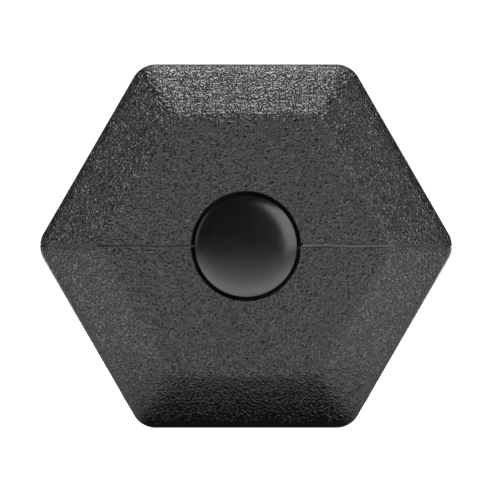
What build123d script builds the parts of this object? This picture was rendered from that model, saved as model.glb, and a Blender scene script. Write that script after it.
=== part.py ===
"""A fixed hexagonal dumbbell: two rubber-covered cast iron heads on one turned steel handle.

X runs across the corners of the heads, Y along the handle and Z up. The origin is on the
floor, under the middle of the handle. Lengths are in millimetres.
"""

from build123d import *
from math import atan2, pi, tan
import os

# The heads, as they are outside the rubber.
head_flats = 110.0  # across two opposite flats
head_length = 78.0  # along the handle
bevel_width = 16.5  # from a flat to the end face, across the handle
bevel_depth = 12.0  # the same bevel, along the handle
edge_radius = 7.0  # of every outside edge of the rubber
rubber_wall = 5.0
flash_width = 0.5  # the raised line where the mould's two halves met
flash_height = 0.15

# The handle, turned from one bar.
grip_span = 122.0  # clear length between the two heads
belly_radius = 17.0  # the middle of the grip
waist_radius = 14.6  # the thinnest place, near each head
waist_to_head = 14.0
neck_reach = 5.0  # how much of the plain neck stands clear of the rubber
shank_radius = 14.0  # the stretch that is pressed into the iron
shoulder_step = 1.5  # from the shank out to the neck, all round
shank_setback = 10.0  # how far the shank ends short of the iron's outer face
shank_chamfer = 1.5

# Each head is held by two spring pins, driven in from its top flat before it is covered.
pin_radius = 3.0
pin_wall = 1.2
pin_slot = 1.0
pin_spacing = 28.0  # from one pin to the next, along the handle
pin_bite = 6.0  # how far a pin goes on into the iron beyond the shank
pin_hole_spare = 1.5  # drilled deeper than the pin

# The plug that closes the outer end of each head.
plug_lap = 1.35  # of the plug over the iron round the bore
plug_gap = 1.05  # all round, between the plug and the rubber
plug_sunk = 0.5  # of the plug's rim below the end face, so that its dome stands proud
plug_dome = 1.8
plug_rim_fillet = 0.6
spigot_clearance = 0.3  # all round, taken up by the crush ribs
spigot_wall = 2.2
spigot_length = 8.0
rib_count = 6
rib_width = 1.2
mouth_fillet = 0.5  # the edge of the rubber round the plug

floor_to_handle = head_flats / 2
head_centre = (grip_span + head_length) / 2
core_half = head_length / 2 - rubber_wall
core_flat = head_flats / 2 - rubber_wall
pin_length = core_flat + shank_radius + pin_bite
neck_radius = shank_radius + shoulder_step
plug_radius = shank_radius + plug_lap
recess_radius = plug_radius + plug_gap


def hexagon(flats):
    return RegularPolygon(radius=flats / 2, side_count=6, major_radius=False)


def head_form(wall=0.0):
    """The outer form of a head, or the form that lies that wall inside it (outside it if negative).

    The axis is Z. Every edge is rounded by growing one sharp form evenly, so two such
    forms stay parallel all over.
    """
    bevel_angle = atan2(bevel_depth, bevel_width)
    middle_half = head_length / 2 - bevel_depth - edge_radius * tan((pi / 2 - bevel_angle) / 2)
    face_flats = head_flats - 2 * bevel_width - 2 * edge_radius * tan(bevel_angle / 2)
    sharp_flats = head_flats - 2 * edge_radius
    sharp_half = head_length / 2 - edge_radius
    middle = extrude(hexagon(sharp_flats), middle_half, both=True)
    end = loft([Pos(0, 0, middle_half) * hexagon(sharp_flats), Pos(0, 0, sharp_half) * hexagon(face_flats)])
    sharp = middle + end + mirror(end, Plane.XY)
    return offset(sharp, edge_radius - wall, kind=Kind.ARC)


def rubber_jacket():
    """The moulded cover. It goes all round the iron, with a hole for the neck and one for the plug."""
    across = 2 * head_flats
    parting = Box(across, flash_width, across)
    flash = head_form(-flash_height) & parting
    mouth = Pos(0, 0, head_length / 2) * Cylinder(recess_radius, 2 * rubber_wall)
    neck_hole = Pos(0, 0, -head_length / 2) * Cylinder(neck_radius, 2 * rubber_wall)
    cover = head_form() - head_form(rubber_wall) - mouth
    rim = cover.edges().filter_by(GeomType.CIRCLE).filter_by_position(
        Axis.Z, head_length / 2 - 0.01, head_length / 2 + 0.01
    )
    cover = fillet(rim, min(mouth_fillet, rubber_wall / 3))
    return cover + (flash - head_form(rubber_wall) - mouth) - neck_hole


def pin_places():
    """Where each pin's outer end is, with +Z pointing out along the pin."""
    along = Rot(-90, 0, 0)
    return [Pos(0, core_flat, side * pin_spacing / 2) * along for side in (-1, 1)]


def pin_drill():
    """The hole that one pin is driven into."""
    depth = pin_length + pin_hole_spare
    return Pos(0, 0, -depth / 2) * Cylinder(pin_radius, depth)


def iron_core():
    """The casting, bored through for the shank and drilled for the pins."""
    core = head_form(rubber_wall) - Cylinder(shank_radius, head_length)
    for place in pin_places():
        core -= place * pin_drill()
    return core


def spring_pins():
    """Rolled steel pins with a slot down one side, flush with the iron's flat."""
    blank = Cylinder(pin_radius, pin_length)
    blank = chamfer(blank.edges().filter_by(GeomType.CIRCLE), pin_wall / 3)
    blank -= Cylinder(pin_radius - pin_wall, pin_length)
    blank -= Pos(pin_radius, 0, 0) * Box(2 * pin_radius, pin_slot, pin_length)
    pin = Pos(0, 0, -pin_length / 2) * blank
    return Compound(children=[place * pin for place in pin_places()])


def end_plug():
    """A domed moulding. Its hollow spigot is pressed into the end of the iron's bore by crush ribs."""
    rim_height = rubber_wall - plug_sunk
    side = Polyline((0, rim_height + plug_dome), (0, 0), (plug_radius, 0), (plug_radius, rim_height))
    dome = TangentArc((0, rim_height + plug_dome), (plug_radius, rim_height), tangent=(1, 0))
    button = revolve(Plane.XZ * make_face(side + dome), Axis.Z)
    rim = button.edges().filter_by_position(Axis.Z, rim_height - 0.01, rim_height + 0.01)
    button = fillet(rim, plug_rim_fillet)
    outer = shank_radius - spigot_clearance
    spigot = Pos(0, 0, -spigot_length / 2) * (
        Cylinder(outer, spigot_length) - Cylinder(outer - spigot_wall, spigot_length)
    )
    in_bore = Pos(0, 0, -spigot_length / 2) * Cylinder(shank_radius, spigot_length)
    rib = Pos(outer, 0, -spigot_length / 2) * Box(spigot_wall, rib_width, spigot_length)
    ribs = PolarLocations(0, rib_count) * rib
    return Pos(0, 0, core_half) * (button + spigot + [r & in_bore for r in ribs])


def handle():
    """One turned bar: a belly that fills the palm, a waist by each head, plain necks and the shanks."""
    half_grip = grip_span / 2
    waist = half_grip - waist_to_head
    neck = half_grip - neck_reach
    shoulder = half_grip + rubber_wall
    end = shoulder + 2 * core_half - shank_setback
    belly = Spline((belly_radius, 0), (waist_radius, waist), tangents=[(0, 1), (0, 1)])
    flare = Spline((waist_radius, waist), (neck_radius, neck), tangents=[(0, 1), (0, 1)])
    shank = Polyline(
        (neck_radius, neck),
        (neck_radius, shoulder),
        (shank_radius, shoulder),
        (shank_radius, end - shank_chamfer),
        (shank_radius - shank_chamfer, end),
        (0, end),
        (0, 0),
        (belly_radius, 0),
    )
    half = revolve(make_face(belly + flare + shank), Axis.Y)
    bar = half + mirror(half, Plane.XZ)
    bar = Pos(0, 0, floor_to_handle) * bar
    for head in (front, rear):
        for place in pin_places():
            bar -= head * place * pin_drill()
    return bar


# A head is made about its own middle with +Z pointing away from the handle, then put in place.
front = Pos(0, -head_centre, floor_to_handle) * Rot(90, 0, 0)
rear = Rot(0, 0, 180) * front

os.makedirs("parts", exist_ok=True)
export_step(handle(), "parts/handle.step")
for piece, make in {
    "rubber_jacket": rubber_jacket,
    "iron_core": iron_core,
    "spring_pins": spring_pins,
    "end_plug": end_plug,
}.items():
    shape = make()
    export_step(front * shape, f"parts/front_{piece}.step")
    export_step(rear * shape, f"parts/rear_{piece}.step")
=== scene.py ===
from math import atan2, cos, pi, radians, sin, tan

import bpy
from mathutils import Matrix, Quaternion, Vector


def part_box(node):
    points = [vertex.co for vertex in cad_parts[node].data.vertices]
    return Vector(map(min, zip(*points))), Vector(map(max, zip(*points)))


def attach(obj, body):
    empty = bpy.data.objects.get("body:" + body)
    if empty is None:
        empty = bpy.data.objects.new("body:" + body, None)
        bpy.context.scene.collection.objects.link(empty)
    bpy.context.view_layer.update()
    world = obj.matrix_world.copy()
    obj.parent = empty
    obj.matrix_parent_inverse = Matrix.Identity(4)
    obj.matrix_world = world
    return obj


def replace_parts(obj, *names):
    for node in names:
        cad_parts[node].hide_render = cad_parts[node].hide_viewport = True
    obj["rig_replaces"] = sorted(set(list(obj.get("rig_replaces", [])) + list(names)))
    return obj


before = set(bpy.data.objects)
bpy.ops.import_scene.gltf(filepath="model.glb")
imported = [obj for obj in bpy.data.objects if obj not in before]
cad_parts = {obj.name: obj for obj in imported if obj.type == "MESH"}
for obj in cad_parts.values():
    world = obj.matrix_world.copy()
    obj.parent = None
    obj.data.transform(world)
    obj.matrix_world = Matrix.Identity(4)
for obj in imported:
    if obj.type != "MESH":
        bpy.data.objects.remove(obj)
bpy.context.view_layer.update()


# ---------------------------------------------------------------------------
# The handle. The real one is a single steel bar, turned to a belly that fills
# the palm and a waist by each head, rolled with a diamond knurl and chrome
# plated. Its plain shanks are pressed into the two iron heads and pinned.
# ---------------------------------------------------------------------------

MM = 0.001

handle_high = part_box("handle")[1]
core_low, core_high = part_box("front_iron_core")
jacket_low, jacket_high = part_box("front_rubber_jacket")
axis_height = (jacket_low.z + jacket_high.z) / 2
rubber_wall = core_low.z - jacket_low.z
belly_radius = handle_high.x
bar_end = handle_high.y
shoulder_y = -core_high.y  # where the neck steps down to the shank
neck_stub = 5 * MM  # of plain neck that shows outside the rubber
neck_flare = 9 * MM  # over which the waist widens to the neck
flare_steps = 9
neck_y = shoulder_y - rubber_wall - neck_stub
waist_y = neck_y - neck_flare
waist_radius = 14.6 * MM
neck_radius = 15.5 * MM
shank_radius = 14 * MM
shank_chamfer = 1.5 * MM
knurl_margin = 1 * MM
knurl_half = waist_y - knurl_margin
# The knurl is coarser than most, so that it shows: two points round the bar and two rows along it
# make a diamond of 2.2 by 3.3 mm.
knurl_around = 96
knurl_rows = 56
knurl_depth = 0.55 * MM
pin_radius = 3 * MM
pin_hole_depth = 71.5 * MM
pin_hole_floor = core_high.z - pin_hole_depth
head_middle = (core_low.y + core_high.y) / 2
pin_offset = 14 * MM
weld_distance = 0.002 * MM
drill_sides = 128
handle_sharp = radians(24)  # edges that turn by more than this stay sharp


def only(piece):
    """Makes one object the selected and active one."""
    bpy.ops.object.select_all(action="DESELECT")
    piece.select_set(True)
    bpy.context.view_layer.objects.active = piece


def apply_modifier(piece, kind, **settings):
    """Adds a modifier to the active piece and applies it at once."""
    modifier = piece.modifiers.new(kind.title(), kind)
    for name, value in settings.items():
        setattr(modifier, name, value)
    bpy.ops.object.modifier_apply(modifier=modifier.name)


def spin_outline(name, outline, steps):
    """Draws an outline of (radius, y) points from axis to axis and turns it about the handle's axis."""
    bpy.ops.object.select_all(action="DESELECT")
    bpy.ops.mesh.primitive_plane_add(size=MM, location=(0, outline[0][1], axis_height + outline[0][0]))
    piece = bpy.context.object
    piece.name = name
    bpy.ops.object.transform_apply()
    bpy.ops.object.mode_set(mode="EDIT")
    bpy.ops.mesh.select_mode(type="VERT")
    bpy.ops.mesh.merge(type="CENTER")
    for (radius, y), (next_radius, next_y) in zip(outline, outline[1:]):
        bpy.ops.mesh.extrude_region_move(
            TRANSFORM_OT_translate={"value": (0, next_y - y, next_radius - radius)}
        )
    bpy.ops.mesh.select_all(action="SELECT")
    bpy.ops.mesh.spin(steps=steps, angle=2 * pi, center=(0, 0, axis_height), axis=(0, 1, 0))
    bpy.ops.mesh.select_all(action="SELECT")
    bpy.ops.mesh.remove_doubles(threshold=weld_distance)
    bpy.ops.mesh.normals_make_consistent(inside=False)
    bpy.ops.object.mode_set(mode="OBJECT")
    return piece


def drill(piece, radius, start, end):
    """Cuts a round hole from one point to another."""
    start, end = Vector(start), Vector(end)
    bpy.ops.object.select_all(action="DESELECT")
    bpy.ops.mesh.primitive_cylinder_add(
        vertices=drill_sides,
        radius=radius,
        depth=(end - start).length,
        location=(start + end) / 2,
        rotation=(end - start).to_track_quat("Z", "Y").to_euler(),
    )
    bit = bpy.context.object
    bpy.ops.object.transform_apply()
    only(piece)
    apply_modifier(piece, "BOOLEAN", operation="DIFFERENCE", solver="EXACT", object=bit)
    bpy.data.objects.remove(bit)


def grip_radius(y):
    """The bar's radius at a place along the grip: belly, waist, then the plain neck."""
    if abs(y) < waist_y:
        share, start, end = abs(y) / waist_y, belly_radius, waist_radius
    else:
        share, start, end = min((abs(y) - waist_y) / (neck_y - waist_y), 1), waist_radius, neck_radius
    return start + (end - start) * share * share * (3 - 2 * share)


row_pitch = 2 * knurl_half / knurl_rows
shank_outline = [
    (0, bar_end),
    (shank_radius - shank_chamfer, bar_end),
    (shank_radius, bar_end - shank_chamfer),
    (shank_radius, shoulder_y),
    (neck_radius, shoulder_y),
]
neck_places = [neck_y - neck_flare * step / flare_steps for step in range(flare_steps + 1)]
neck_outline = [(grip_radius(y), y) for y in neck_places]
knurl_outline = [
    (grip_radius(row * row_pitch - knurl_half), row * row_pitch - knurl_half)
    for row in range(knurl_rows, -1, -1)
]
near_half = shank_outline + neck_outline
far_half = [(radius, -y) for radius, y in reversed(near_half)]
handle = spin_outline("handle_bar", near_half + knurl_outline + far_half, knurl_around)

# The knurl: of its grid of points, every other one is sunk, and the rest stand as small pyramids.
only(handle)
bpy.ops.object.mode_set(mode="EDIT")
bpy.ops.mesh.select_mode(type="VERT")
bpy.ops.mesh.select_all(action="DESELECT")
bpy.ops.object.mode_set(mode="OBJECT")
for vertex in handle.data.vertices:
    row = (vertex.co.y + knurl_half) / row_pitch
    place_round = atan2(vertex.co.x, vertex.co.z - axis_height) / (2 * pi) * knurl_around
    vertex.select = 0.5 < row < knurl_rows - 0.5 and (round(row) + round(place_round)) % 2 == 1
bpy.ops.object.mode_set(mode="EDIT")
bpy.ops.transform.shrink_fatten(value=-knurl_depth)
bpy.ops.object.mode_set(mode="OBJECT")
for polygon in handle.data.polygons:
    polygon.select = abs(polygon.center.y) < knurl_half
bpy.ops.object.mode_set(mode="EDIT")
bpy.ops.mesh.select_mode(type="FACE")
bpy.ops.mesh.quads_convert_to_tris(quad_method="SHORTEST_DIAGONAL")
bpy.ops.object.mode_set(mode="OBJECT")
for end in (-1, 1):
    for offset in (-pin_offset, pin_offset):
        y = end * head_middle + offset
        drill(handle, pin_radius, (0, y, core_high.z), (0, y, pin_hole_floor))
only(handle)
bpy.ops.object.shade_smooth_by_angle(angle=handle_sharp)


def linear(hex_colour):
    """The linear colour of an sRGB hex value such as "1b1b1c"."""
    channels = [int(hex_colour[at : at + 2], 16) / 255 for at in (0, 2, 4)]
    return [c / 12.92 if c <= 0.04045 else ((c + 0.055) / 1.055) ** 2.4 for c in channels] + [1]


def new_material(name):
    """A material with an empty node tree."""
    material = bpy.data.materials.new(name)
    material.use_nodes = True
    material.node_tree.nodes.clear()
    return material


def add_node(owner, kind, links=None, values=None, **settings):
    """Adds one node to a material or world, with its settings, its values and what feeds it."""
    made = owner.node_tree.nodes.new(kind)
    for name, value in settings.items():
        setattr(made, name, value)
    for name, value in (values or {}).items():
        made.inputs[name].default_value = value
    for name, socket in (links or {}).items():
        owner.node_tree.links.new(socket, made.inputs[name])
    return made


# Chrome plate over turned steel: a cool bright mirror with a little grey haze where hands and
# racks rub it. The turning lines round the bar are 0.1 mm apart, drawn at 0.7 mm so they show.
haze_patch = 16 * MM
turning_pitch = 0.7 * MM
turning_depth = 0.004 * MM
chrome = new_material("chrome_plated_steel")
place = add_node(chrome, "ShaderNodeTexCoord").outputs["Object"]
haze = add_node(
    chrome, "ShaderNodeTexNoise", {"Vector": place}, {"Scale": 1 / haze_patch, "Detail": 5.0}
)
dullness = add_node(
    chrome,
    "ShaderNodeMapRange",
    {"Value": haze.outputs[0]},
    {"From Min": 0.3, "From Max": 0.75, "To Min": 0.08, "To Max": 0.24},
)
split = add_node(chrome, "ShaderNodeSeparateXYZ", {"Vector": place})
turning = add_node(
    chrome,
    "ShaderNodeTexNoise",
    {"W": split.outputs["Y"]},
    {"Scale": 1 / turning_pitch, "Detail": 2.0},
    noise_dimensions="1D",
)
lines = add_node(
    chrome,
    "ShaderNodeBump",
    {"Height": turning.outputs[0]},
    {"Strength": 1.0, "Distance": turning_depth},
)
shader = add_node(
    chrome,
    "ShaderNodeBsdfPrincipled",
    {"Roughness": dullness.outputs[0], "Normal": lines.outputs[0]},
    {"Base Color": linear("c6c8ca"), "Metallic": 1.0},
)
add_node(chrome, "ShaderNodeOutputMaterial", {"Surface": shader.outputs[0]})
handle.data.materials.append(chrome)
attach(handle, "root")
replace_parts(handle, "handle")


# ---------------------------------------------------------------------------
# The iron cores. Each is a grey iron casting with a skin from its sand mould,
# bored for the handle and drilled for two pins, and later covered in rubber.
# ---------------------------------------------------------------------------

# Sand-cast grey iron: dark, with a dry half-metal look, pitted by sand grains 0.6 mm across and
# stained a little brown in patches.
sand_grain = 0.6 * MM
pit_depth = 0.12 * MM
stain_patch = 25 * MM
cast_iron = new_material("sand_cast_iron")
place = add_node(cast_iron, "ShaderNodeTexCoord").outputs["Object"]
sand = add_node(
    cast_iron, "ShaderNodeTexNoise", {"Vector": place}, {"Scale": 1 / sand_grain, "Detail": 4.0}
)
stain = add_node(
    cast_iron, "ShaderNodeTexNoise", {"Vector": place}, {"Scale": 1 / stain_patch, "Detail": 6.0}
)
colours = add_node(cast_iron, "ShaderNodeValToRGB", {"Fac": stain.outputs[0]})
colours.color_ramp.elements[0].position = 0.35
colours.color_ramp.elements[0].color = linear("262627")
colours.color_ramp.elements[1].position = 0.7
colours.color_ramp.elements[1].color = linear("3a3532")
pitting = add_node(
    cast_iron,
    "ShaderNodeBump",
    {"Height": sand.outputs[0]},
    {"Strength": 1.0, "Distance": pit_depth},
)
shader = add_node(
    cast_iron,
    "ShaderNodeBsdfPrincipled",
    {"Base Color": colours.outputs["Color"], "Normal": pitting.outputs[0]},
    {"Metallic": 0.85, "Roughness": 0.62},
)
add_node(cast_iron, "ShaderNodeOutputMaterial", {"Surface": shader.outputs[0]})
for core in (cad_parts["front_iron_core"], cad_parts["rear_iron_core"]):
    for slot in core.material_slots:
        slot.material = cast_iron


# ---------------------------------------------------------------------------
# The spring pins. Each is a strip of hardened steel rolled into a slotted
# tube, driven through the core and the handle before the rubber goes on.
# ---------------------------------------------------------------------------

# Hardened spring steel, oiled and blackened by its heat treatment: grey-blue, with drawing marks
# along the pin. The marks are 0.3 mm apart.
mark_pitch = 0.3 * MM
mark_stretch = 0.03  # so the marks run some 30 times as long as they are wide
spring_steel = new_material("oiled_spring_steel")
place = add_node(spring_steel, "ShaderNodeTexCoord").outputs["Object"]
along_pin = add_node(
    spring_steel, "ShaderNodeMapping", {"Vector": place}, {"Scale": (1, 1, mark_stretch)}
)
drawn = add_node(
    spring_steel,
    "ShaderNodeTexNoise",
    {"Vector": along_pin.outputs[0]},
    {"Scale": 1 / mark_pitch, "Detail": 3.0},
)
sheen = add_node(
    spring_steel, "ShaderNodeMapRange", {"Value": drawn.outputs[0]}, {"To Min": 0.28, "To Max": 0.5}
)
shader = add_node(
    spring_steel,
    "ShaderNodeBsdfPrincipled",
    {"Roughness": sheen.outputs[0]},
    {"Base Color": linear("5d6064"), "Metallic": 1.0},
)
add_node(spring_steel, "ShaderNodeOutputMaterial", {"Surface": shader.outputs[0]})
for pins in (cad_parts["front_spring_pins"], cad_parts["rear_spring_pins"]):
    for slot in pins.material_slots:
        slot.material = spring_steel


# ---------------------------------------------------------------------------
# The rubber jackets. The real ones are a natural and reclaimed rubber compound
# moulded under pressure round the iron, in two steel plates etched all over
# with a pebble grain. It leaves one skin 5 mm thick and a fine parting line.
# ---------------------------------------------------------------------------

front_plug_low, front_plug_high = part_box("front_end_plug")
face_y = core_low.y - rubber_wall  # the front head's outer face
inner_y = core_high.y + rubber_wall  # and the face round the handle
head_flats = jacket_high.z - jacket_low.z
head_length = inner_y - face_y
bevel_width = 16.5 * MM
bevel_depth = 12 * MM
edge_radius = 7 * MM
crease_radius = 5 * MM  # round each end face, where the bevels meet it
least_radius = 0.5 * MM  # of the cavity's edges, because a bevel of no width leaves a mesh open
bevel_unit = 10 * MM  # the width of an edge's rounding whose weight is 1
plug_gap = 1.05 * MM
mouth_radius = front_plug_high.x + plug_gap
mouth_edge = 0.2 * MM
overcut = 1 * MM  # how far a hole is cut past the wall, so that it goes clean through
line_width = 0.6 * MM
line_height = 0.17 * MM
line_waver = 0.2 * MM
jacket_sharp = radians(30)
facing_end = 0.9  # only the normals of the end faces lie this much along the handle


def select_faces(test):
    """In edit mode, selects just the faces of the active piece that pass the test."""
    bpy.ops.mesh.select_mode(type="FACE")
    bpy.ops.mesh.select_all(action="DESELECT")
    bpy.ops.object.mode_set(mode="OBJECT")
    for polygon in bpy.context.object.data.polygons:
        polygon.select = test(polygon)
    bpy.ops.object.mode_set(mode="EDIT")


def weigh_edges(block, inset):
    """Gives each edge the share of a whole bevel that rounds it to its radius."""
    mesh = block.data
    normals_at = {edge.key: [] for edge in mesh.edges}
    for polygon in mesh.polygons:
        for key in polygon.edge_keys:
            normals_at[key].append(polygon.normal)
    weights = mesh.attributes.new("bevel_weight_edge", "FLOAT", "EDGE")
    for edge in mesh.edges:
        one, other = normals_at[edge.key]
        at_crease = max(abs(one.y), abs(other.y)) > facing_end
        radius = max((crease_radius if at_crease else edge_radius) - inset, least_radius)
        weights.data[edge.index].value = radius * tan(one.angle(other) / 2) / bevel_unit


def hexagonal_block(name, inset):
    """A head's form with all its faces moved in by the inset, and every edge rounded to match."""
    slope = atan2(bevel_depth, bevel_width)
    flats = head_flats - 2 * inset
    width = bevel_width + inset * tan(slope / 2) - inset
    side_half = head_length / 2 - bevel_depth - inset * tan((pi / 2 - slope) / 2)
    depth = head_length / 2 - inset - side_half
    bpy.ops.object.select_all(action="DESELECT")
    half_side_angle = radians(30)
    bpy.ops.mesh.primitive_cylinder_add(
        vertices=6,
        radius=flats / 2 / cos(half_side_angle),
        depth=2 * side_half,
        location=(0, head_middle, axis_height),
        rotation=(radians(90), half_side_angle, 0),
    )
    block = bpy.context.object
    block.name = name
    bpy.ops.object.transform_apply()
    bpy.ops.object.mode_set(mode="EDIT")
    for end in (-1, 1):
        select_faces(lambda face: face.normal.y * end > facing_end)
        bpy.ops.mesh.inset(thickness=width, depth=depth)
    bpy.ops.object.mode_set(mode="OBJECT")
    weigh_edges(block, inset)
    apply_modifier(
        block, "BEVEL", limit_method="WEIGHT", width=bevel_unit, segments=7, use_clamp_overlap=False
    )
    return block


jacket = hexagonal_block("front_jacket_moulding", 0)
cavity = hexagonal_block("front_cavity", rubber_wall)
only(jacket)
apply_modifier(jacket, "BOOLEAN", operation="DIFFERENCE", solver="EXACT", object=cavity)
bpy.data.objects.remove(cavity)
holes = ((mouth_radius, face_y, core_low.y), (neck_radius, core_high.y, inner_y))
for hole_radius, start_y, end_y in holes:
    drill(jacket, hole_radius, (0, start_y - overcut, axis_height), (0, end_y + overcut, axis_height))

# Both mouths have a small rounded lip.
bpy.ops.object.mode_set(mode="EDIT")
for hole_radius, end_y in ((mouth_radius, face_y), (neck_radius, inner_y)):
    bpy.ops.mesh.select_mode(type="EDGE")
    bpy.ops.mesh.select_all(action="DESELECT")
    bpy.ops.object.mode_set(mode="OBJECT")
    points = jacket.data.vertices
    for edge in jacket.data.edges:
        ends = [points[end].co - Vector((0, end_y, axis_height)) for end in edge.vertices]
        edge.select = all(abs(p.xz.length - hole_radius) + abs(p.y) < 0.02 * MM for p in ends)
    bpy.ops.object.mode_set(mode="EDIT")
    bpy.ops.mesh.bevel(offset=mouth_edge, segments=3)

# The trimming knife has nicked the right of the outer lip, just over the parting line.
nick_size = 0.9 * MM
nick_at = Vector((mouth_radius + 0.25 * MM, face_y + 0.1 * MM, axis_height + 0.55 * MM))
nick_turn = (radians(20), radians(45), 0)
bpy.ops.object.mode_set(mode="OBJECT")
bpy.ops.object.select_all(action="DESELECT")
bpy.ops.mesh.primitive_cube_add(size=nick_size, location=nick_at, rotation=nick_turn)
knife = bpy.context.object
bpy.ops.object.transform_apply()
only(jacket)
apply_modifier(jacket, "BOOLEAN", operation="DIFFERENCE", solver="EXACT", object=knife)
bpy.data.objects.remove(knife)
bpy.ops.object.mode_set(mode="EDIT")

# The parting line. The plates closed a hair out of line, so on the right the line is a thread of
# rubber with a scratch of a groove under it, and on the left the groove is above the thread.
for step in (-2, -1, 0, 1, 2):
    bpy.ops.mesh.select_all(action="SELECT")
    bpy.ops.mesh.bisect(plane_co=(0, 0, axis_height + step * line_width / 2), plane_no=(0, 0, 1))
head_centre = Vector((0, head_middle, axis_height))


def on_line(face):
    """Whether a face of the jacket is on the outside and within a line's width of the parting plane."""
    outward = face.normal.dot(face.center - head_centre) > 0
    return outward and abs(face.center.z - axis_height) < line_width


# The faces along it are cut every few millimetres, so that the line can waver.
cut_pitch = 4 * MM
cuts_each_way = 15
for step in range(-cuts_each_way, cuts_each_way + 1):
    along = step * cut_pitch
    for normal in ((1, 0, 0), (0, 1, 0)):
        select_faces(on_line)
        bpy.ops.mesh.bisect(plane_co=(along, head_middle + along, 0), plane_no=normal)


def line_points(side):
    """The outside points of the line on one side of the head, read in object mode."""
    faces = [face for face in jacket.data.polygons if on_line(face) and face.center.x * side > 0]
    indices = {index for face in faces for index in face.vertices}
    return [jacket.data.vertices[index] for index in indices]


def move_line(side, height, rise):
    """Raises the outside points of the line on one side of the head that lie at one height."""
    bpy.ops.mesh.select_mode(type="VERT")
    bpy.ops.mesh.select_all(action="DESELECT")
    bpy.ops.object.mode_set(mode="OBJECT")
    for vertex in line_points(side):
        vertex.select = abs(vertex.co.z - axis_height - height) < 0.01 * MM
    bpy.ops.object.mode_set(mode="EDIT")
    bpy.ops.transform.shrink_fatten(value=rise)


for side in (-1, 1):
    move_line(side, side * line_width / 2, line_height)
    move_line(side, -side * line_width / 2, -line_height)
bpy.ops.object.mode_set(mode="OBJECT")

# It wavers up and down a little on its way round the head, in two waves, one long and one short.
long_wave = 5 * MM
short_wave = 2.3 * MM
for side in (-1, 1):
    for vertex in line_points(side):
        along = vertex.co.x + vertex.co.y
        vertex.co.z += line_waver / 2 * (sin(along / long_wave) + sin(along / short_wave + 1))

# Where the line meets the outer mouth, a nib of flash is left in the gap on each side.
nib_reach = 0.9 * plug_gap
nib_root = 0.4 * MM  # of its length that is sunk in the rubber
nib_middle = mouth_radius + (nib_root - nib_reach) / 2
nib_depth = 1.6 * MM
nib_thickness = 0.4 * MM
nib_edge = 0.08 * MM
nib_sunk = 0.1 * MM  # behind the end face
right_nib_drop = 0.6 * MM
for name, x, z in (("left_nib", -nib_middle, 0), ("right_nib", nib_middle, -right_nib_drop)):
    bpy.ops.mesh.primitive_cube_add(
        size=1,
        location=(x, face_y + nib_depth / 2 + nib_sunk, axis_height + z),
        scale=(nib_reach + nib_root, nib_depth, nib_thickness),
    )
    nib = bpy.context.object
    nib.name = name
    bpy.ops.object.transform_apply()
    apply_modifier(nib, "BEVEL", width=nib_edge, segments=2)
    only(nib)
    jacket.select_set(True)
    bpy.context.view_layer.objects.active = jacket
    bpy.ops.object.join()
only(jacket)
bpy.ops.object.shade_smooth_by_angle(angle=jacket_sharp)
apply_modifier(jacket, "WEIGHTED_NORMAL", keep_sharp=True, weight=100)

# Compression-moulded rubber: dull black, with a waxy sheen on the pads of its grain. The pads are
# irregular and winding, about 1 mm across, and stand at uneven heights. The narrow valleys that
# part them are duller, and their colour is painted darker: painted shade, standing in for the shade
# that the bump can't cast in them. Along the parting line the flash was trimmed, which left a plain
# band with no grain.
grain_pitch = 0.95 * MM
grain_depth = 0.29 * MM
trim_half = 0.75 * line_width
trim_level = 1.1  # of the grain's depth, about level with its pads
rubber = new_material("moulded_rubber")
place = add_node(rubber, "ShaderNodeTexCoord").outputs["Object"]
worms = add_node(
    rubber,
    "ShaderNodeTexNoise",
    {"Vector": place},
    {"Scale": 1 / grain_pitch, "Detail": 0.0},
)
level = add_node(rubber, "ShaderNodeMath", {0: worms.outputs[0]}, {1: 0.5}, operation="SUBTRACT")
fold = add_node(rubber, "ShaderNodeMath", {0: level.outputs[0]}, operation="ABSOLUTE")
pads = add_node(
    rubber,
    "ShaderNodeMapRange",
    {"Value": fold.outputs[0]},
    {"From Min": 0.0, "From Max": 0.24},
    interpolation_type="SMOOTHSTEP",
)
swell = add_node(
    rubber,
    "ShaderNodeTexNoise",
    {"Vector": place},
    {"Scale": 0.9 / grain_pitch, "Detail": 0.0},
)
height = add_node(
    rubber,
    "ShaderNodeMath",
    {0: swell.outputs[0], 2: pads.outputs[0]},
    {1: 0.5},
    operation="MULTIPLY_ADD",
)
up = add_node(rubber, "ShaderNodeSeparateXYZ", {"Vector": place}).outputs["Z"]
in_band = add_node(
    rubber, "ShaderNodeMath", {0: up}, {1: axis_height, 2: trim_half}, operation="COMPARE"
)
trimmed = add_node(
    rubber, "ShaderNodeMix", {"Factor": in_band.outputs[0], "A": height.outputs[0]}, {"B": trim_level}
)
grain = add_node(
    rubber, "ShaderNodeBump", {"Height": trimmed.outputs[0]}, {"Strength": 1.0, "Distance": grain_depth}
)
# The rubber's black, painted darker in the valleys than on the pads: painted shade in the grain.
black_with_painted_shade = add_node(rubber, "ShaderNodeValToRGB", {"Fac": pads.outputs[0]})
black_with_painted_shade.color_ramp.elements[0].color = linear("070707")
black_with_painted_shade.color_ramp.elements[1].color = linear("131314")
wax = add_node(
    rubber, "ShaderNodeMapRange", {"Value": pads.outputs[0]}, {"To Min": 0.34, "To Max": 0.27}
)
shader = add_node(
    rubber,
    "ShaderNodeBsdfPrincipled",
    {"Base Color": black_with_painted_shade.outputs["Color"], "Roughness": wax.outputs[0], "Normal": grain.outputs[0]},
    {"IOR": 1.52},
)
add_node(rubber, "ShaderNodeOutputMaterial", {"Surface": shader.outputs[0]})
jacket.data.materials.append(rubber)
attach(jacket, "root")
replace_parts(jacket, "front_rubber_jacket")


def turn_about(piece, name, node):
    """Copies a front piece to the rear of the handle, turned half round."""
    only(piece)
    bpy.ops.object.duplicate()
    copy = bpy.context.object
    copy.name = name
    bpy.ops.transform.rotate(value=pi, orient_axis="Z", center_override=(0, 0, 0))
    bpy.ops.object.transform_apply()
    del copy["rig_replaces"]
    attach(copy, "root")
    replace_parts(copy, node)


turn_about(jacket, "rear_jacket_moulding", "rear_rubber_jacket")


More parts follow.
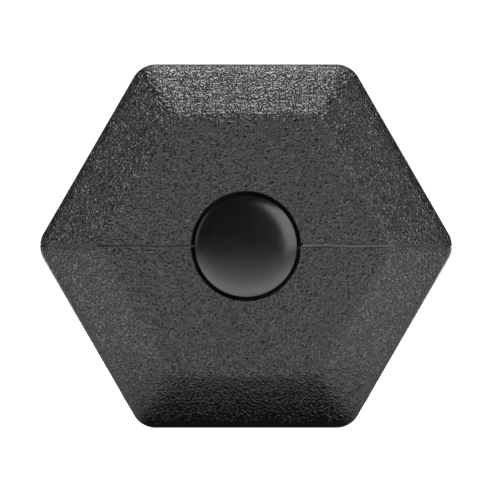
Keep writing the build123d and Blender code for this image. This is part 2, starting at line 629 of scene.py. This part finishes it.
# ---------------------------------------------------------------------------
# The end plugs. Each is a smooth domed button injection moulded in ABS, with
# a hollow spigot behind it whose six crush ribs grip the end of the bore.
# ---------------------------------------------------------------------------

plug_radius = front_plug_high.x
plug_seat = core_low.y
plug_apex = front_plug_low.y
spigot_end = front_plug_high.y
dome_rise = 1.8 * MM
crown_share = 0.6  # of the rise that is an even crown, and the rest rolls off at the rim
rim_fillet = 0.4 * MM
rib_height = 0.3 * MM
spigot_radius = shank_radius - rib_height
spigot_wall = 2.2 * MM
plug_steps = 72  # so that one step round the spigot is a rib's width
rib_every = 12  # steps, which makes six ribs
plug_sharp = radians(35)

# One share of the dome's fall goes with the square of the radius, and the rest with its eighth
# power. The fillet turns from the rim's side to the dome's slope there.
roll_power = 8
rim_slope = atan2(dome_rise * (2 * crown_share + roll_power * (1 - crown_share)), plug_radius)
fillet_drop = 0.8 * rim_fillet  # from the dome's foot back to the fillet's centre
fillet_y = plug_apex + dome_rise + fillet_drop
fillet_steps = 8
crown_steps = 20
outline = [
    (0, plug_seat),
    (spigot_radius - spigot_wall, plug_seat),
    (spigot_radius - spigot_wall, spigot_end),
    (spigot_radius, spigot_end),
    (spigot_radius, plug_seat),
    (plug_radius, plug_seat),
]
for step in range(fillet_steps + 1):
    turn = (pi / 2 - rim_slope) * step / fillet_steps
    radius = plug_radius - rim_fillet + rim_fillet * cos(turn)
    outline.append((radius, fillet_y - rim_fillet * sin(turn)))
crown_edge, crown_foot = outline[-1]
for step in range(1, crown_steps + 1):
    share = 1 - step / crown_steps
    fall = crown_share * share**2 + (1 - crown_share) * share**roll_power
    outline.append((crown_edge * share, plug_apex + (crown_foot - plug_apex) * fall))
plug = spin_outline("front_plug_button", outline, plug_steps)


def on_rib(face):
    """Whether a face of the spigot's outer wall is where a crush rib stands."""
    across, up = face.center.x, face.center.z - axis_height
    on_outer_wall = face.center.y > plug_seat and Vector((across, up)).length > spigot_radius - 0.05 * MM
    step_round = round(atan2(across, up) / (2 * pi) * plug_steps - 0.5)
    return on_outer_wall and abs(face.normal.y) < 0.1 and step_round % rib_every == 0


only(plug)
bpy.ops.object.mode_set(mode="EDIT")
select_faces(on_rib)
bpy.ops.mesh.extrude_region_shrink_fatten(TRANSFORM_OT_shrink_fatten={"value": rib_height})
bpy.ops.object.mode_set(mode="OBJECT")
bpy.ops.object.shade_smooth_by_angle(angle=plug_sharp)

# Injection-moulded ABS: jet black with a smooth satin skin. Its sheen varies very slightly from
# place to place as the plastic cooled, and the spark-eroded mould leaves it a faint skin grain,
# some 0.1 mm fine, drawn at 0.35 mm so it shows.
cooling_patch = 2.5 * MM
skin_grain = 0.35 * MM
skin_depth = 0.008 * MM
plastic = new_material("satin_moulded_abs")
place = add_node(plastic, "ShaderNodeTexCoord").outputs["Object"]
cooling = add_node(
    plastic, "ShaderNodeTexNoise", {"Vector": place}, {"Scale": 1 / cooling_patch, "Detail": 3.0}
)
satin = add_node(
    plastic,
    "ShaderNodeMapRange",
    {"Value": cooling.outputs[0]},
    {"From Min": 0.3, "From Max": 0.7, "To Min": 0.19, "To Max": 0.24},
)
skin = add_node(
    plastic, "ShaderNodeTexNoise", {"Vector": place}, {"Scale": 1 / skin_grain, "Detail": 2.0}
)
fine = add_node(
    plastic,
    "ShaderNodeBump",
    {"Height": skin.outputs[0]},
    {"Strength": 1.0, "Distance": skin_depth},
)
shader = add_node(
    plastic,
    "ShaderNodeBsdfPrincipled",
    {"Roughness": satin.outputs[0], "Normal": fine.outputs[0]},
    {"Base Color": linear("070708"), "IOR": 1.54},
)
add_node(plastic, "ShaderNodeOutputMaterial", {"Surface": shader.outputs[0]})
plug.data.materials.append(plastic)
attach(plug, "root")
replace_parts(plug, "front_end_plug")
turn_about(plug, "rear_plug_button", "rear_end_plug")


# ---------------------------------------------------------------------------
# The studio: a pale floor that runs out to a white room, and soft lights. Only
# the camera sees the room as white. The object itself sees it dim.
# ---------------------------------------------------------------------------

dim_room = 0.06
white_room = 1.3
floor_size = 60
scene = bpy.context.scene
scene.view_settings.view_transform = "Standard"
world = bpy.data.worlds.new("white_room")
scene.world = world
world.use_nodes = True
world.node_tree.nodes.clear()
ray = add_node(world, "ShaderNodeLightPath")
dim = add_node(world, "ShaderNodeBackground", {}, {"Color": (1, 1, 1, 1), "Strength": dim_room})
white = add_node(world, "ShaderNodeBackground", {}, {"Color": (1, 1, 1, 1), "Strength": white_room})
room = add_node(
    world,
    "ShaderNodeMixShader",
    {0: ray.outputs["Is Camera Ray"], 1: dim.outputs[0], 2: white.outputs[0]},
)
add_node(world, "ShaderNodeOutputWorld", {"Surface": room.outputs[0]})

# A floor that only the camera sees, in matt white paint. It glows, so that it shows no shade and
# meets the white room unseen.
bpy.ops.object.select_all(action="DESELECT")
bpy.ops.mesh.primitive_plane_add(size=floor_size)
floor = bpy.context.object
floor.name = "pale_floor"
floor.visible_diffuse = False
floor.visible_glossy = False
floor.visible_shadow = False
pale = new_material("pale_floor_paint")
shader = add_node(
    pale,
    "ShaderNodeBsdfPrincipled",
    {},
    {
        "Base Color": (0.9, 0.9, 0.9, 1),
        "Roughness": 0.8,
        "Emission Color": (1, 1, 1, 1),
        "Emission Strength": 1.0,
    },
)
add_node(pale, "ShaderNodeOutputMaterial", {"Surface": shader.outputs[0]})
floor.data.materials.append(pale)

# What the floor throws back at the object, from a sheet just under it that only the object sees:
# next to nothing where the object shades the floor, most a hand's width out, and less and less
# beyond. It is strongest ahead of the two ends of the object and weak along its sides.
bounce_size = 3
bounce_drop = 1 * MM
shade_half = 32 * MM  # of the shaded floor's width
shade_past_end = 15 * MM
glow_by_distance = (  # metres from the shaded floor, and the level there
    (0, 0.03),
    (0.015, 0.6),
    (0.05, 1.35),
    (0.09, 1.5),
    (0.13, 1.3),
    (0.22, 0.95),
    (0.4, 0.55),
    (0.7, 0.25),
    (1, 0.12),
)
ends_from, ends_to = -0.05, 0.15  # metres past the end of the shaded floor
glow_by_end = (  # the share of the way from one to the other, and the level there
    (0, 0.3),
    (0.05, 0.4),
    (0.25, 2.3),
    (0.4, 2.5),
    (0.7, 1.7),
    (1, 1.55),
)


def grey_ramp(feed, stops):
    """A ramp of greys for the glow, from a stop at 0 through others to a stop at 1."""
    made = add_node(glow, "ShaderNodeValToRGB", {"Fac": feed})
    elements = made.color_ramp.elements
    first, *between, last = stops
    for element, (position, level) in zip(elements, (first, last)):
        element.color = (level, level, level, 1)
    for position, level in between:
        elements.new(position).color = (level, level, level, 1)
    return made.outputs["Color"]


bpy.ops.object.select_all(action="DESELECT")
bpy.ops.mesh.primitive_plane_add(size=bounce_size, location=(0, 0, -bounce_drop))
bounce = bpy.context.object
bounce.name = "floor_bounce"
bpy.ops.object.transform_apply()
bounce.visible_camera = False
glow = new_material("floor_glow")
place = add_node(glow, "ShaderNodeTexCoord").outputs["Object"]
split = add_node(glow, "ShaderNodeSeparateXYZ", {"Vector": place})
past, outside = {}, {}
for axis, half in (("X", shade_half), ("Y", handle_high.y + shade_past_end)):
    away = add_node(glow, "ShaderNodeMath", {0: split.outputs[axis]}, operation="ABSOLUTE")
    beyond = add_node(glow, "ShaderNodeMath", {0: away.outputs[0]}, {1: half}, operation="SUBTRACT")
    clear = add_node(glow, "ShaderNodeMath", {0: beyond.outputs[0]}, {1: 0.0}, operation="MAXIMUM")
    past[axis] = beyond.outputs[0]
    outside[axis] = clear.outputs[0]
apart = add_node(glow, "ShaderNodeCombineXYZ", outside)
distance = add_node(glow, "ShaderNodeVectorMath", {0: apart.outputs[0]}, operation="LENGTH")
ahead = add_node(
    glow, "ShaderNodeMapRange", {"Value": past["Y"]}, {"From Min": ends_from, "From Max": ends_to}
)
shader = add_node(
    glow,
    "ShaderNodeEmission",
    {
        "Color": grey_ramp(distance.outputs["Value"], glow_by_distance),
        "Strength": grey_ramp(ahead.outputs[0], glow_by_end),
    },
)
add_node(glow, "ShaderNodeOutputMaterial", {"Surface": shader.outputs[0]})
bounce.data.materials.append(glow)


def area_light(name, at, target, width, height, radiance, lean=0):
    """A softbox of an even radiance, aimed at its target and leaned round its own axis."""
    data = bpy.data.lights.new(name, "AREA")
    data.shape = "RECTANGLE"
    data.size, data.size_y = width, height
    data.energy = radiance * pi * width * height
    lamp = bpy.data.objects.new(name, data)
    scene.collection.objects.link(lamp)
    lamp.location = at
    aim = (Vector(target) - Vector(at)).to_track_quat("-Z", "Y")
    lamp.rotation_euler = (aim @ Quaternion((0, 0, 1), radians(lean))).to_euler()
    lamp.visible_camera = False


face_middle = Vector((0, face_y, axis_height))


def seen_at(azimuth, elevation, distance):
    """The point at this bearing from the front face: 0 is straight in front of it, 90 to its right."""
    a, e = radians(azimuth), radians(elevation)
    return face_middle + distance * Vector((sin(a) * cos(e), -cos(a) * cos(e), sin(e)))


# The overhead box lights the upper bevels, the two side boxes graze the grain, and the near right
# one makes the crescent on the plug.
overhead_back = 0.085
overhead_height = 0.95
box_distance = 1.1
area_light(
    "overhead_softbox",
    (0, overhead_back, overhead_height),
    (0, overhead_back, 0),
    width=0.45,
    height=1.03,
    radiance=8.8,
)
for name, azimuth, elevation, width, height, radiance, lean in (
    ("left_softbox", -72, 20, 0.75, 0.75, 2.2, 0),
    ("far_right_softbox", 78, 20, 0.7, 0.75, 1.7, 0),
    ("right_softbox", 37, 14, 0.75, 0.9, 3.2, 13),
):
    at = seen_at(azimuth, elevation, box_distance)
    area_light(name, at, face_middle, width, height, radiance, lean)

# The camera looks straight along the handle. At the head's outline, where its sides turn into its
# bevels, the distance across the flats is this share of the width of the view.
flats_share = 0.738618
outline_back = 3.6 * MM  # behind the corner between side and bevel, because the corner is rounded
camera_distance = 1.2
film_width = 36
outline_y = face_y + bevel_depth + outline_back
camera_data = bpy.data.cameras.new("camera")
camera = bpy.data.objects.new("camera", camera_data)
scene.collection.objects.link(camera)
scene.camera = camera
camera.location = (0, outline_y - camera_distance, axis_height)
camera.rotation_euler = (radians(90), 0, 0)
camera_data.sensor_width = film_width
camera_data.lens = film_width * flats_share * camera_distance / head_flats
camera_data.clip_end = 100
